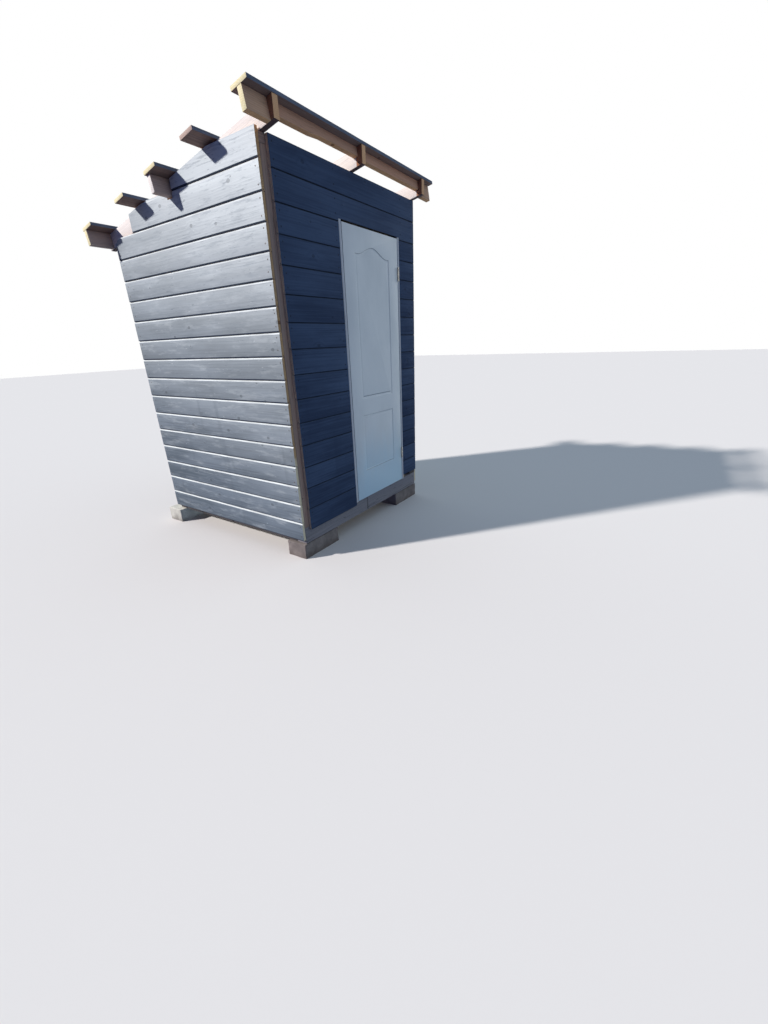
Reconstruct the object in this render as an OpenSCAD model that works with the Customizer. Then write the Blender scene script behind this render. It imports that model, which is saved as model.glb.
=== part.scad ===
// Wooden outhouse with a shed roof frame: high side at the door, falling to the back.
// Millimetres, +Z up, the door faces -Y, the origin is under the middle of the whole outline.
// Heights inside the modules count from the lower edge of the side cladding,
// and places from the outer face of the left and front cladding.

/* [Walls] */
// Width over the side cladding
wall_w = 1660; // [1500:10:2400]
// Depth over the front and back cladding
wall_d = 1660; // [1500:10:2400]
// Thickness of the cladding boards
clad_t = 20; // [14:1:28]
// Length of the open corner left of the front cladding
corner_left = 67; // [30:1:68]
// Length of the open corner right of the front cladding
corner_right = 37; // [25:1:60]
// Height of the lower edge of the front cladding
front_clad_low = 75; // [20:1:90]
// Width of the front cladding right of the door
right_strip = 235; // [180:5:500]
// How far the side cladding's straight upper edge lies below the rafters' upper edge
side_clad_drop = 87; // [60:1:110]
// How far its sloping upper edge lies below the rafters' upper edge
side_clad_gap = 8; // [2:1:30]
// Height of the highest board on the side walls
top_board = 134; // [100:1:150]
// Height of the second highest board on the side walls
second_board = 154; // [100:1:160]
// Distance from the back face to where those two boards end
open_top_in = 270; // [200:10:340]
// How long the slanting cut at the side cladding's upper back corner is
corner_cut = 70; // [10:5:150]
// How far the front cladding ends below the top plate's upper edge
front_clad_drop = 1; // [1:1:10]
// How far the back cladding ends below the rafters' lower edge
back_clad_drop = 5; // [1:1:10]

/* [Posts and plates] */
// Side of the square posts, studs and top plates
post = 50; // [40:1:60]
// Width of the front corner posts, seen from the front
corner_post_w = 100; // [80:5:150]
// Width of the sill beams
sill_w = 100; // [80:5:150]
// Height of the sill beams
sill_h = 130; // [100:5:160]
// Height of the top of the sill beams
sill_top = 100; // [90:5:120]

/* [Floor] */
// Thickness of the floor boards
floor_t = 25; // [20:1:40]
// Width of a floor joist
joist_w = 50; // [40:1:60]
// Height of a floor joist
joist_h = 90; // [60:5:95]

/* [Piers] */
// Length of a concrete block
block_l = 390; // [300:10:500]
// Width of a concrete block
block_w = 190; // [140:10:240]
// Height of a block above the lowest ground
block_h = 120; // [80:5:190]
// How far the back blocks stand out past the side wall
block_out = 40; // [0:5:60]
// How far the back sill reaches over the back blocks
block_bearing = 70; // [50:5:100]

/* [Roof frame] */
// Fall of the roof in degrees
roof_fall = 10.3; // [6:0.1:14]
// Height of the rafters' upper edge above the door header, at the face of the front cladding
rise_over_door = 345; // [330:1:450]
// Thickness of a rafter
rafter_t = 40; // [30:1:50]
// Depth of a rafter, square to its upper edge
rafter_h = 100; // [80:1:110]
// How far the rafters stand out in front of the front cladding
rafter_front = 100; // [60:5:160]
// How far the rafters stand out behind the back cladding
rafter_back = 140; // [135:1:180]
// How far the middle rafter's centre lies left of the hut's middle
rafter_mid_off = 18; // [-60:1:60]
// Thickness of the flat battens
batten_t = 22; // [16:1:30]
// Gap under the battens, where they lie on sawn edges
batten_lay = 0.05; // [0.02:0.01:0.2]
// Width of the first, second and fourth batten
batten_w = 124; // [100:2:134]
// Width of the middle and back battens
wide_batten_w = 134; // [100:2:134]
// How far the front batten stands out in front of the rafters' ends
batten_lip = 3; // [0:1:10]
// Place of the second batten's centre
batten_second_at = 423; // [400:1:450]
// Place of the middle batten's centre
batten_middle_at = 833; // [810:1:860]
// Place of the fourth batten's centre
batten_fourth_at = 1243; // [1220:1:1280]
// How far the battens stand out past the left wall
over_left = 127; // [100:2:220]
// How much further the back batten stands out on the left
back_extra = 13; // [0:2:80]
// How far the battens stand out past the right wall
over_right = 110; // [80:5:220]
// Thickness of the boards on edge under three of the battens
edge_t = 35; // [25:1:40]
// Height of the boards on edge
edge_h = 99; // [80:1:99]
// Height of the front board's short ends outside the rafters
front_stub_h = 103; // [80:1:130]
// Height of the narrower boards on edge between the front rafters
front_edge_h = 62; // [40:1:90]
// Place of the front board on edge, from its batten's centre
edge_front_off = -18; // [-28:1:10]
// Place of the middle board on edge, from its batten's centre
edge_middle_off = 25; // [-30:1:28]
// How far the middle board's left end stays behind its batten's end
middle_end_in = 12; // [0:1:40]
// Place of the back board on edge, from its batten's centre
edge_back_off = 21; // [10:1:28]
// Clearance of the cladding round a board on edge
notch_gap = 3; // [1:1:6]

/* [Door] */
// Width of the door leaf
leaf_w = 700; // [600:10:800]
// Height of the door leaf
leaf_h = 2000; // [1900:10:2020]
// Thickness of the door leaf
leaf_t = 40; // [30:1:45]
// Clearance round the door leaf
leaf_gap = 5; // [3:0.5:6]
// Clearance between the door leaf and the header
header_gap = 12; // [4:1:14]
// Width of a jamb board as seen from the front
jamb_t = 25; // [18:1:30]
// Width of the door stops
stop_w = 12; // [8:1:20]
// Depth of the door stops
stop_t = 20; // [12:1:22]
// Gap between the leaf and the stops
stop_gap = 5; // [3:1:8]
// Width of the moulding round a panel
mould_w = 22; // [14:1:30]
// Depth of the moulding
mould_d = 5; // [3:0.5:7]
// Width of the leaf's stiles beside the panels
stile_w = 130; // [100:5:150]
// Height of the leaf's bottom rail
bottom_rail = 235; // [150:5:260]
// Height of the lower panel
lower_panel_h = 460; // [300:10:500]
// Height of the rail between the panels
lock_rail = 130; // [80:5:200]
// Height of the leaf's top rail at the shoulders of the upper panel
top_rail = 165; // [150:5:260]
// Rise of the upper panel's arch
arch_rise = 55; // [30:5:70]
// Width of the flat shoulders beside the arch
arch_shoulder = 30; // [20:5:90]

/* [Hinges] */
// Height of a hinge
hinge_h = 100; // [80:5:120]
// Radius of a hinge knuckle
knuckle_r = 6; // [5:0.5:8]
// Radius of a hinge pin
pin_r = 3; // [2.5:0.1:3.5]
// Radial clearance of the moving knuckle
pin_clear = 0.3; // [0.2:0.05:0.5]
// Gap between two knuckles along the pin
knuckle_gap = 0.5; // [0.3:0.1:1]
// Thickness of a hinge plate
plate_t = 1.5; // [1:0.1:1.8]
// Width of a hinge plate
plate_w = 32; // [24:1:36]
// How far the knuckles stand off the leaf's face
knuckle_off = 1; // [0.5:0.5:3]
// Distance from the leaf's lower edge to the lower hinge's middle
low_hinge = 265; // [150:5:300]
// Distance from the leaf's upper edge to the upper hinge's middle
high_hinge = 250; // [150:5:300]

/* [Hidden] */
$fn = 48;
eps = 0.01;
raw_wood = [0.62, 0.45, 0.27];
old_wood = [0.42, 0.38, 0.33];
painted = [0.25, 0.29, 0.34];
white = [0.85, 0.87, 0.88];
concrete = [0.66, 0.65, 0.62];
steel = [0.55, 0.56, 0.58];

fall = tan(roof_fall);
rafter_plumb = rafter_h / cos(roof_fall);
sill_low = sill_top - sill_h;
ground = sill_low - block_h;
frame_x0 = clad_t;
frame_x1 = wall_w - clad_t;
frame_y0 = clad_t;
frame_y1 = wall_d - clad_t;
batten_half = batten_w / 2 * cos(roof_fall);
wide_half = wide_batten_w / 2 * cos(roof_fall);
batten_front_at = -rafter_front - batten_lip + batten_half;
batten_back_at = wall_d + rafter_back - wide_half;
jamb_x1 = wall_w - corner_right - right_strip;
leaf_x1 = jamb_x1 - jamb_t - leaf_gap;
leaf_at = leaf_x1 - leaf_w;
jamb_x0 = leaf_at - leaf_gap - jamb_t;
leaf_low = sill_top + leaf_gap;
leaf_top = leaf_low + leaf_h;
header_low = leaf_top + header_gap;
pin_x = leaf_x1 + leaf_gap / 2;
pin_y = -knuckle_r - knuckle_off;
rafter_high = header_low + post + rise_over_door;
rafter_mid = wall_w / 2 - rafter_mid_off;

// Height of the rafters' upper edge at a place y
function roof_z(y) = rafter_high - fall * y;
front_plate_top = roof_z(frame_y0) - rafter_plumb;
back_plate_top = roof_z(frame_y1 - post) - rafter_plumb;
front_clad_top = front_plate_top - front_clad_drop;
back_clad_top = roof_z(wall_d) - rafter_plumb - back_clad_drop;
side_clad_top = rafter_high - side_clad_drop;
low_clad_top = side_clad_top - top_board - second_board;
open_top_y = wall_d - open_top_in;

// The whole outline's middle, so that the origin lies under it
x_low = -over_left - back_extra;
x_high = wall_w + over_right;
y_low = -rafter_front - batten_lip;
y_high = wall_d + rafter_back + batten_t * sin(roof_fall);

module placed() translate([-(x_low + x_high) / 2, -(y_low + y_high) / 2, -ground]) children();
module box(x0, y0, z0, x1, y1, z1) placed() translate([x0, y0, z0]) cube([x1 - x0, y1 - y0, z1 - z0]);
// An outline in Y and Z, drawn out along X
module side_outline(x0, x1, points)
    placed() translate([x0, 0, 0]) rotate([90, 0, 90]) linear_extrude(x1 - x0) polygon(points);

// Piers
module pier(x0, y0) color(concrete) box(x0, y0, ground, x0 + block_l, y0 + block_w, sill_low);
module pier_front_left() pier(0, frame_y0);
module pier_front_right() pier(wall_w - block_l, frame_y0);
module pier_back_left() pier(-block_out, frame_y1 - block_bearing);
module pier_back_right() pier(wall_w + block_out - block_l, frame_y1 - block_bearing);

// Sill beams: front and back run through, the sides lie between them
module sill(x0, y0, x1, y1) color(old_wood) box(x0, y0, sill_low, x1, y1, sill_top);
module sill_front() sill(frame_x0, frame_y0, frame_x1, frame_y0 + sill_w);
module sill_back() sill(frame_x0, frame_y1 - sill_w, frame_x1, frame_y1);
module sill_left() sill(frame_x0, frame_y0 + sill_w, frame_x0 + sill_w, frame_y1 - sill_w);
module sill_right() sill(frame_x1 - sill_w, frame_y0 + sill_w, frame_x1, frame_y1 - sill_w);

// Floor: boards flush with the sills, on three joists
floor_x0 = frame_x0 + sill_w;
floor_x1 = frame_x1 - sill_w;
module floor_joists() {
    for (x = [floor_x0, (floor_x0 + floor_x1 - joist_w) / 2, floor_x1 - joist_w])
        color(raw_wood) box(x, frame_y0 + sill_w, sill_top - floor_t - joist_h,
            x + joist_w, frame_y1 - sill_w, sill_top - floor_t);
}
module floor_boards()
    color(raw_wood) box(floor_x0, frame_y0 + sill_w, sill_top - floor_t,
        floor_x1, frame_y1 - sill_w, sill_top);

// Posts and studs
module upright(x0, y0, z1, w = post) color(raw_wood) box(x0, y0, sill_top, x0 + w, y0 + post, z1);
module post_front_left() upright(frame_x0, frame_y0, front_plate_top - post, corner_post_w);
module post_front_right()
    upright(frame_x1 - corner_post_w, frame_y0, front_plate_top - post, corner_post_w);
module post_back_left() upright(frame_x0, frame_y1 - post, back_plate_top - post);
module post_back_right() upright(frame_x1 - post, frame_y1 - post, back_plate_top - post);
module door_post_left() upright(jamb_x0 - post, frame_y0, front_plate_top - post);
module door_post_right() upright(jamb_x1, frame_y0, front_plate_top - post);
module stud_back() upright((wall_w - post) / 2, frame_y1 - post, back_plate_top - post);
module side_stud(x0) {
    y0 = (wall_d - post) / 2;
    color(raw_wood) side_outline(x0, x0 + post, [[y0, sill_top], [y0 + post, sill_top],
        [y0 + post, roof_z(y0 + post) - rafter_plumb], [y0, roof_z(y0) - rafter_plumb]]);
}
module stud_left() side_stud(frame_x0);
module stud_right() side_stud(frame_x1 - post);
module plate(y0, z1) color(raw_wood) box(frame_x0, y0, z1 - post, frame_x1, y0 + post, z1);
module plate_front() plate(frame_y0, front_plate_top);
module plate_back() plate(frame_y1 - post, back_plate_top);

// Door frame
module door_header()
    color(raw_wood) box(jamb_x0, frame_y0, header_low, jamb_x1, frame_y0 + post, header_low + post);
module jamb(x0) color(raw_wood) box(x0, 0, sill_top, x0 + jamb_t, frame_y0 + post, header_low);
module jamb_left() jamb(jamb_x0);
module jamb_right() jamb(jamb_x1 - jamb_t);
module door_stops() {
    y0 = leaf_t + stop_gap;
    for (x = [jamb_x0 + jamb_t, jamb_x1 - jamb_t - stop_w])
        color(raw_wood) box(x, y0, sill_top, x + stop_w, y0 + stop_t, header_low);
}

// Front faces of the boards on edge, at the rafters' upper edge
edge_front_y = batten_front_at + edge_front_off;
edge_middle_y = batten_middle_at + edge_middle_off;
edge_back_y = batten_back_at + edge_back_off;
// Corners of a board on edge, square to the roof: y0 is its front face at the rafters' upper edge
function edge_corners(y0, h, t) = let (s = sin(roof_fall), c = cos(roof_fall))
    [[y0, roof_z(y0)], [y0 - h * s, roof_z(y0) - h * c],
     [y0 - h * s + t * c, roof_z(y0) - h * c - t * s], [y0 + t * c, roof_z(y0) - t * s]];

// Cladding. The side cladding follows the roof and is cut round the boards on edge.
meet_y = (side_clad_drop - side_clad_gap) / fall;
function notch_y0(y0) = y0 - edge_h * sin(roof_fall) - notch_gap;
module notch(y0) {
    y1 = y0 + edge_t + notch_gap;
    low = roof_z(y0) - edge_h * cos(roof_fall) - edge_t * sin(roof_fall) - notch_gap;
    high = roof_z(y0) + batten_t;
    polygon([[notch_y0(y0), low], [y1, low], [y1, high], [notch_y0(y0), high]]);
}
module side_wall(x0) {
    color(painted) placed() translate([x0, 0, 0]) rotate([90, 0, 90]) linear_extrude(clad_t) difference() {
        polygon([[frame_y0, 0], [wall_d, 0], [wall_d, back_clad_top], [wall_d - corner_cut, low_clad_top],
            [open_top_y, low_clad_top], [open_top_y, roof_z(open_top_y) - side_clad_gap],
            [meet_y, side_clad_top], [frame_y0, side_clad_top]]);
        notch(edge_middle_y);
    }
}
module wall_left() side_wall(0);
module wall_right() side_wall(wall_w - clad_t);
module wall_back() color(painted) box(frame_x0, frame_y1, 0, frame_x1, wall_d, back_clad_top);
module front_left_of_door()
    color(painted) box(corner_left, 0, front_clad_low, jamb_x0, clad_t, front_clad_top);
module front_right_of_door()
    color(painted) box(jamb_x1, 0, front_clad_low, wall_w - corner_right, clad_t, front_clad_top);
module front_over_door() color(painted) box(jamb_x0, 0, header_low, jamb_x1, clad_t, front_clad_top);

// Rafters, notched over the top plates
rafter_left_x = frame_x0 + post - rafter_t;
module rafter(x0) {
    y0 = -rafter_front;
    y1 = wall_d + rafter_back;
    color(raw_wood) side_outline(x0, x0 + rafter_t, [[y0, roof_z(y0)], [y0, roof_z(y0) - rafter_plumb],
        [frame_y0, front_plate_top], [frame_y0 + post, front_plate_top],
        [frame_y0 + post, roof_z(frame_y0 + post) - rafter_plumb],
        [frame_y1 - post, back_plate_top], [frame_y1, back_plate_top],
        [frame_y1, roof_z(frame_y1) - rafter_plumb], [y1, roof_z(y1) - rafter_plumb], [y1, roof_z(y1)]]);
}
module rafter_left() rafter(rafter_left_x);
module rafter_middle() rafter(rafter_mid - rafter_t / 2);
module rafter_right() rafter(wall_w - rafter_left_x - rafter_t);

// Flat battens on the rafters
module batten(at, w, extra = 0) {
    c = cos(roof_fall);
    s = sin(roof_fall);
    y0 = at - w / 2 * c;
    z0 = roof_z(y0) + batten_lay;
    color(raw_wood) side_outline(-over_left - extra, wall_w + over_right, [[y0, z0],
        [y0 + w * c, z0 - w * s], [y0 + w * c + batten_t * s, z0 - w * s + batten_t * c],
        [y0 + batten_t * s, z0 + batten_t * c]]);
}
module batten_front() batten(batten_front_at, batten_w);
module batten_second() batten(batten_second_at, batten_w);
module batten_middle() batten(batten_middle_at, wide_batten_w);
module batten_fourth() batten(batten_fourth_at, batten_w);
module batten_back() batten(batten_back_at, wide_batten_w, back_extra);

// Boards on edge under three battens: short ends outside the rafters and blocking between them
module edge_boards(y0, outer_h, inner_h, extra = 0) {
    left = rafter_left_x;
    mid0 = rafter_mid - rafter_t / 2;
    mid1 = rafter_mid + rafter_t / 2;
    right = wall_w - rafter_left_x;
    spans = [[-over_left - extra, left, outer_h], [left + rafter_t, mid0, inner_h],
        [mid1, right - rafter_t, inner_h], [right, wall_w + over_right, outer_h]];
    for (s = spans) color(raw_wood) side_outline(s[0], s[1], edge_corners(y0, s[2], edge_t));
}
module edge_boards_front() edge_boards(edge_front_y, front_stub_h, front_edge_h);
module edge_boards_middle() edge_boards(edge_middle_y, edge_h, edge_h, -middle_end_in);
module edge_boards_back() edge_boards(edge_back_y, edge_h, edge_h, back_extra);

// Door leaf with two moulded panels on each face
panel_w = leaf_w - 2 * stile_w;
upper_low = bottom_rail + lower_panel_h + lock_rail;
upper_high = leaf_h - top_rail;
arch_steps = 24;
// A smooth wave from shoulder to shoulder, highest in the middle
function arch_point(i) = let (u = 1 - 2 * i / arch_steps)
    [leaf_w / 2 + u * (panel_w / 2 - arch_shoulder), upper_high + arch_rise * (1 + cos(180 * u)) / 2];
upper_outline = concat(
    [[stile_w, upper_low], [leaf_w - stile_w, upper_low], [leaf_w - stile_w, upper_high]],
    [for (i = [0:arch_steps]) arch_point(i)], [[stile_w, upper_high]]);
lower_outline = [[stile_w, bottom_rail], [leaf_w - stile_w, bottom_rail],
    [leaf_w - stile_w, bottom_rail + lower_panel_h], [stile_w, bottom_rail + lower_panel_h]];
module ring(points) difference() {
    polygon(points);
    offset(delta = -mould_w) polygon(points);
}
module door_leaf() color(white) placed() translate([leaf_at, 0, leaf_low]) difference() {
    cube([leaf_w, leaf_t, leaf_h]);
    for (y = [mould_d, leaf_t + eps]) translate([0, y, 0]) rotate([90, 0, 0]) linear_extrude(mould_d + eps) {
        ring(upper_outline);
        ring(lower_outline);
    }
}

// Hinges: the jamb's half has the outer knuckles and the pin, the leaf's half has the middle knuckle
third = (hinge_h - 2 * knuckle_gap) / 3;
module knuckle(z) translate([0, 0, z]) cylinder(r = knuckle_r, h = third);
module each_hinge() for (z = [leaf_low + low_hinge, leaf_top - high_hinge])
    placed() translate([pin_x, pin_y, z - hinge_h / 2]) children();
// A plate in the gap beside the leaf, with a tongue to its knuckles
module hinge_plate(side, z, h) translate([side > 0 ? leaf_gap / 2 - plate_t : -leaf_gap / 2, 0, z])
    cube([plate_t, plate_w - pin_y, h]);
module hinges_on_jamb() color(steel) each_hinge() {
    knuckle(0);
    knuckle(2 * (third + knuckle_gap));
    cylinder(r = pin_r, h = hinge_h);
    hinge_plate(1, 0, third);
    hinge_plate(1, 2 * (third + knuckle_gap), third);
}
module hinges_on_leaf() color(steel) each_hinge() difference() {
    union() {
        knuckle(third + knuckle_gap);
        hinge_plate(-1, third + knuckle_gap, third);
    }
    translate([0, 0, -eps]) cylinder(r = pin_r + pin_clear, h = hinge_h + 2 * eps);
}

pier_front_left();
pier_front_right();
pier_back_left();
pier_back_right();
sill_front();
sill_back();
sill_left();
sill_right();
floor_joists();
floor_boards();
post_front_left();
post_front_right();
post_back_left();
post_back_right();
door_post_left();
door_post_right();
door_header();
jamb_left();
jamb_right();
door_stops();
stud_left();
stud_right();
stud_back();
plate_front();
plate_back();
wall_left();
wall_right();
wall_back();
front_left_of_door();
front_right_of_door();
front_over_door();
rafter_left();
rafter_middle();
rafter_right();
batten_front();
batten_second();
batten_middle();
batten_fourth();
batten_back();
edge_boards_front();
edge_boards_middle();
edge_boards_back();
hinges_on_jamb();
door_leaf();
hinges_on_leaf();
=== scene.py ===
# Looks of a small wooden outhouse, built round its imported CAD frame.
# Metres, +Z up, the door faces -Y. Every piece is placed from the CAD nodes' boxes.
import math
import random

import bpy
import numpy as np
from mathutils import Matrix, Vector


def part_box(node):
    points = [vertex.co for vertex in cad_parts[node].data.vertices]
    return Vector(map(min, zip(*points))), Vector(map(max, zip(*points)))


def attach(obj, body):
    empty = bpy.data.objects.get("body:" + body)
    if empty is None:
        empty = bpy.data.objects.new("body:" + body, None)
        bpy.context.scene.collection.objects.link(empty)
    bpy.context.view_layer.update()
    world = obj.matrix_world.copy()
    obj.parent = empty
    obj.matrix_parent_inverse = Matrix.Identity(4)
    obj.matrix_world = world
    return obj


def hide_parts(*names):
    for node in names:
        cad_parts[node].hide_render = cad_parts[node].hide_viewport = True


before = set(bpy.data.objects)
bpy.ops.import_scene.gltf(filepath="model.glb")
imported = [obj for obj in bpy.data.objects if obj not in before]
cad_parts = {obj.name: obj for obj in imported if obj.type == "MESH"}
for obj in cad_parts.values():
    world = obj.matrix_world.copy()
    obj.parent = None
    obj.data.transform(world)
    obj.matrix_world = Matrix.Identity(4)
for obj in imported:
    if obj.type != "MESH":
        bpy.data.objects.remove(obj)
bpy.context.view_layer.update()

print("frame loaded:", len(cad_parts), "CAD nodes")

roofFall = math.radians(10.3)   # the roof falls towards the back
tiny = 0.0004                   # how close a point has to be to count as on a plane
softAngle = math.radians(35)    # a sharper edge is eased, a softer one is shaded smooth
alongX = Vector((1, 0, 0))
alongY = Vector((0, 1, 0))
alongZ = Vector((0, 0, 1))
downRoof = Vector((0, math.cos(roofFall), -math.sin(roofFall)))
offRoof = Vector((0, math.sin(roofFall), math.cos(roofFall)))


# Selecting and shaping

def clearSelection():
    if bpy.context.object and bpy.context.object.mode == "EDIT":
        closeEdit()
    bpy.ops.object.select_all(action="DESELECT")


def activate(piece):
    clearSelection()
    piece.select_set(True)
    bpy.context.view_layer.objects.active = piece


def pick(piece, kind, test):
    # Selects faces, edges or points by place or normal, and opens edit mode
    activate(piece)
    mesh = piece.data
    for group in (mesh.vertices, mesh.edges, mesh.polygons):
        group.foreach_set("select", [False] * len(group))
    if kind == "face":
        for face in mesh.polygons:
            face.select = test(face.center, face.normal)
    elif kind == "edge":
        for edge in mesh.edges:
            edge.select = test(mesh.vertices[edge.vertices[0]].co, mesh.vertices[edge.vertices[1]].co)
    else:
        for vertex in mesh.vertices:
            vertex.select = test(vertex.co)
    bpy.context.tool_settings.mesh_select_mode = (kind == "point", kind == "edge", kind == "face")
    bpy.ops.object.mode_set(mode="EDIT")


def editAll(piece):
    pick(piece, "face", lambda centre, normal: True)


def closeEdit():
    bpy.ops.object.mode_set(mode="OBJECT")


def setPlace():
    # The active piece's place, turn and size go into its mesh
    bpy.ops.object.transform_apply(location=True, rotation=True, scale=True)


def addBlock(name, low, high, tilt=0.0):
    # A block between two corners, tilted about its own middle, with its place in its mesh
    low, high = Vector(low), Vector(high)
    clearSelection()
    bpy.ops.mesh.primitive_cube_add(size=1, location=(low + high) / 2, rotation=(tilt, 0, 0))
    block = bpy.context.object
    block.name = name
    block.scale = high - low
    setPlace()
    return block


def copyPiece(piece, name):
    activate(piece)
    bpy.ops.object.duplicate()
    bpy.context.object.name = name
    return bpy.context.object


def movePiece(piece, step, turn=0.0):
    # Turned about the upright axis through the origin, then moved
    activate(piece)
    piece.rotation_euler = (0, 0, turn)
    piece.location = step
    setPlace()


def joinPieces(name, parts):
    clearSelection()
    for part in parts:
        part.select_set(True)
    bpy.context.view_layer.objects.active = parts[0]
    if len(parts) > 1:
        bpy.ops.object.join()
    parts[0].name = name
    return parts[0]


def applyModifier(piece, kind, **settings):
    activate(piece)
    modifier = piece.modifiers.new(kind.lower(), kind)
    for key, value in settings.items():
        setattr(modifier, key, value)
    bpy.ops.object.modifier_apply(modifier=modifier.name)


def softenEdges(piece, width, segments=2):
    applyModifier(piece, "BEVEL", width=width, segments=segments, limit_method="ANGLE",
                  angle_limit=softAngle)


def cutWith(piece, cutter):
    applyModifier(piece, "BOOLEAN", operation="DIFFERENCE", object=cutter, solver="EXACT")
    bpy.data.objects.remove(cutter)


def slicePiece(piece, place, normal, dropOuter=False):
    # Cuts all faces along a plane; with dropOuter, what lies on the normal's side goes and the cut is closed
    editAll(piece)
    bpy.ops.mesh.bisect(plane_co=place, plane_no=normal, use_fill=dropOuter, clear_outer=dropOuter)
    closeEdit()


def sliceAlong(piece, axis, step):
    # Even cuts along a timber, so that it can be uneven
    values = [vertex.co.dot(axis) for vertex in piece.data.vertices]
    count = max(1, round((max(values) - min(values)) / step))
    for i in range(1, count):
        slicePiece(piece, axis * (min(values) + (max(values) - min(values)) * i / count), axis)


def copyNode(node, name):
    # A CAD node's shape as a clean closed mesh, to cut with
    clearSelection()
    copy = bpy.data.objects.new(name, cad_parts[node].data.copy())
    bpy.context.scene.collection.objects.link(copy)
    editAll(copy)
    bpy.ops.mesh.remove_doubles(threshold=0.00002)
    closeEdit()
    return copy


def markGrain(piece, along, across, seed):
    # Each point's place in its own log: along the grain, across it and through it, and one tone per timber
    rng = random.Random(seed)
    count = len(piece.data.vertices)
    points = np.zeros(count * 3)
    piece.data.vertices.foreach_get("co", points)
    points = points.reshape(-1, 3)
    axes = np.array([along, across, along.cross(across)])
    middle = (points.min(0) + points.max(0)) / 2
    shift = np.array([rng.uniform(0, 40), rng.uniform(-0.05, 0.05), rng.uniform(0.03, 0.08)])
    for name, kind, values in (("grain", "FLOAT_VECTOR", (points - middle) @ axes.T + shift),
                               ("tone", "FLOAT", np.full(count, rng.random()))):
        layer = piece.data.attributes.get(name) or piece.data.attributes.new(name, kind, "POINT")
        layer.data.foreach_set("vector" if kind == "FLOAT_VECTOR" else "value", values.ravel())


# Materials

def fillSockets(tree, node, values):
    # A pattern is linked to its socket, a plain value is set on it
    for key, value in values.items():
        if isinstance(value, bpy.types.NodeSocket):
            tree.links.new(value, node.inputs[key])
        else:
            node.inputs[key].default_value = value


def addNode(tree, kind, values=None, **settings):
    node = tree.nodes.new("ShaderNode" + kind)
    for key, value in settings.items():
        setattr(node, key, value)
    fillSockets(tree, node, values or {})
    return node


def calc(tree, operation, first, second=0.0):
    return addNode(tree, "Math", {0: first, 1: second}, operation=operation).outputs[0]


def plus(tree, first, second):
    return calc(tree, "ADD", first, second)


def minus(tree, first, second):
    return calc(tree, "SUBTRACT", first, second)


def times(tree, first, second):
    return calc(tree, "MULTIPLY", first, second)


def addUp(tree, total, *parts):
    # A pattern and shares of others on top of it
    for pattern, share in parts:
        total = plus(tree, total, times(tree, pattern, share))
    return total


def fade(tree, value, start, end, low=0.0, high=1.0):
    # From low to high while the value goes from start to end, smoothly
    return addNode(tree, "MapRange", {"Value": value, "From Min": start, "From Max": end,
                   "To Min": low, "To Max": high}, interpolation_type="SMOOTHSTEP").outputs[0]


def mixColour(tree, amount, first, second):
    return addNode(tree, "Mix", {0: amount, 6: first, 7: second}, data_type="RGBA").outputs[2]


def paintOver(tree, coat, *layers):
    # Layers of colour, each as far as its pattern lets it through
    for amount, tone in layers:
        coat = mixColour(tree, amount, coat, tone)
    return coat


def noise(tree, place, scale, detail=2.0, rough=0.5):
    # Noise with its own scale along each axis, in steps per metre
    stretched = addNode(tree, "Mapping", {"Vector": place, "Scale": scale}).outputs[0]
    return addNode(tree, "TexNoise", {"Vector": stretched, "Scale": 1.0, "Detail": detail,
                   "Roughness": rough}).outputs[0]


def ownPlace(tree):
    # Where a point lies in the piece's own space, and how high
    place = addNode(tree, "TexCoord").outputs["Object"]
    return place, addNode(tree, "SeparateXYZ", {0: place}).outputs[2]


def colour(red, green, blue):
    # A colour as a paint chart gives it, 0 to 255, turned into light
    values = [value / 255 for value in (red, green, blue)]
    return tuple(v / 12.92 if v <= 0.04045 else ((v + 0.055) / 1.055) ** 2.4 for v in values) + (1,)


def shaded(tone, *shares):
    return tuple(value * share for value, share in zip(tone, shares)) + (1,)


def startMaterial(name):
    material = bpy.data.materials.new(name)
    material.use_nodes = True
    return material, material.node_tree, material.node_tree.nodes["Principled BSDF"]


def logPattern(tree, ringWidth):
    # Growth rings round a heart, fibres, and knots that the rings flow round
    grain = addNode(tree, "Attribute", attribute_name="grain").outputs["Vector"]
    split = addNode(tree, "SeparateXYZ", {0: grain})
    cells = addNode(tree, "Mapping", {"Vector": grain, "Scale": (4.4, 6.2, 0)}).outputs[0]
    knots = addNode(tree, "TexVoronoi", {"Vector": cells, "Scale": 1.0}, voronoi_dimensions="2D")
    chance = addNode(tree, "SeparateColor", {0: knots.outputs["Color"]})
    size = fade(tree, chance.outputs[1], 0, 1, 0.5, 1.3)
    there = fade(tree, chance.outputs[0], 0.66, 0.68)
    reach = calc(tree, "DIVIDE", knots.outputs["Distance"], size)
    knot = times(tree, fade(tree, reach, 0.062, 0.045), there)
    halo = times(tree, fade(tree, reach, 0.26, 0.04), there)
    wave = minus(tree, noise(tree, grain, (1.1, 7, 7), 2.0), 0.5)
    across = addUp(tree, split.outputs[1], (wave, 0.05))
    through = addUp(tree, split.outputs[2], (halo, 0.012))
    radius = calc(tree, "SQRT", plus(tree, times(tree, across, across), times(tree, through, through)))
    rings = calc(tree, "SINE", times(tree, radius, 2 * math.pi / ringWidth))
    rings = fade(tree, rings, -0.4, 1.0)
    fibres = noise(tree, grain, (3.5, 150, 150), 2.0, 0.6)
    tone = addNode(tree, "Attribute", attribute_name="tone").outputs["Fac"]
    return {"grain": grain, "rings": rings, "fibres": fibres, "knot": knot, "halo": halo, "tone": tone}


def bump(tree, height, distance, strength):
    return addNode(tree, "Bump", {"Height": height, "Distance": distance,
                   "Strength": strength}).outputs[0]


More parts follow.
